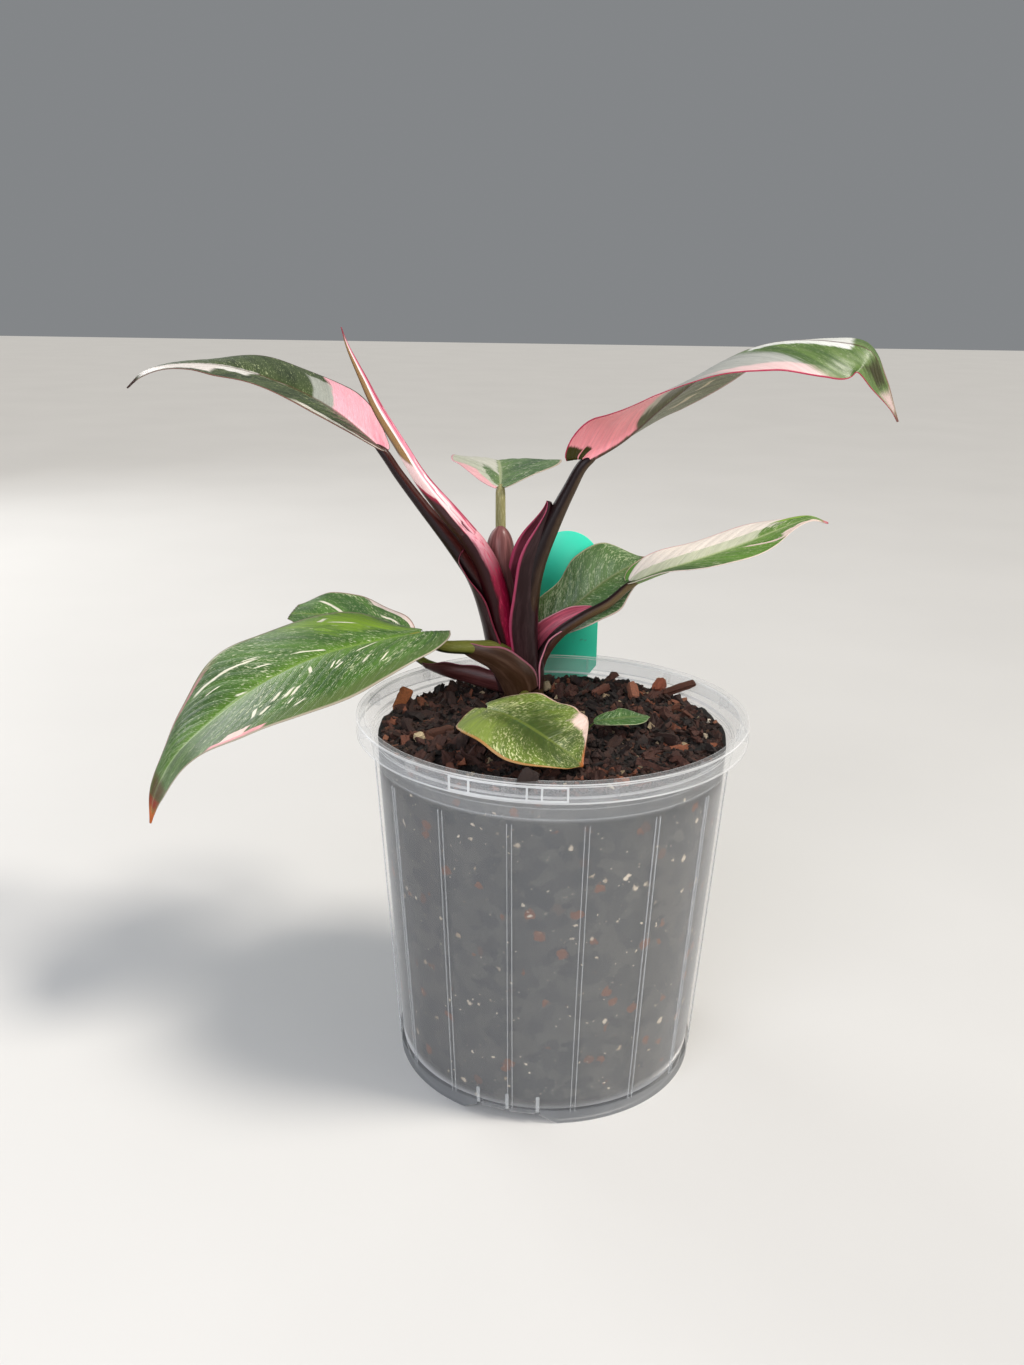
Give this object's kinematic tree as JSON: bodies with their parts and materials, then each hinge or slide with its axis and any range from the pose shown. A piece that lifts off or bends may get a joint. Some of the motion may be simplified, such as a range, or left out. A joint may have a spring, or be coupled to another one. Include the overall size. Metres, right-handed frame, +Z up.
{
  "type": "potted philodendron",
  "caption": "Young pink-variegated philodendron with arching heart-shaped leaves and one rolled new leaf, standing in bark mix in a clear plastic growers' pot with a plant tag.",
  "frame": {"origin": "centre of the pot's underside, on the surface it stands on", "axes": "+Z up, -Y the front that the plant faces, +X to the right, along its longest reach"},
  "size_m": [0.2776, 0.181, 0.2633],
  "materials": {
    "clear_polypropylene": "moulded, clear and slightly frosted",
    "bark_mix": "damp bark chips in peat",
    "tag_plastic": "satin sheet",
    "burgundy_stalk": "waxy living stem",
    "green_blade": "waxy leaf",
    "pale_blade": "waxy leaf",
    "pink_blade": "waxy leaf"
  },
  "bodies": {
    "root": {"pot": "clear_polypropylene", "potting_mix": "bark_mix", "plant_tag": "tag_plastic", "crown": "burgundy_stalk", "new_leaf": "pink_blade", "leaf_upper_left": "green_blade", "leaf_upper_right": "pink_blade", "leaf_right": "pale_blade", "leaf_big_left": "green_blade", "leaf_hidden_left": "green_blade", "leaf_round_back": "green_blade", "leaf_small_back": "green_blade", "leaf_front_low": "pale_blade", "leaf_seedling": "green_blade"}
  },
  "joints": []
}
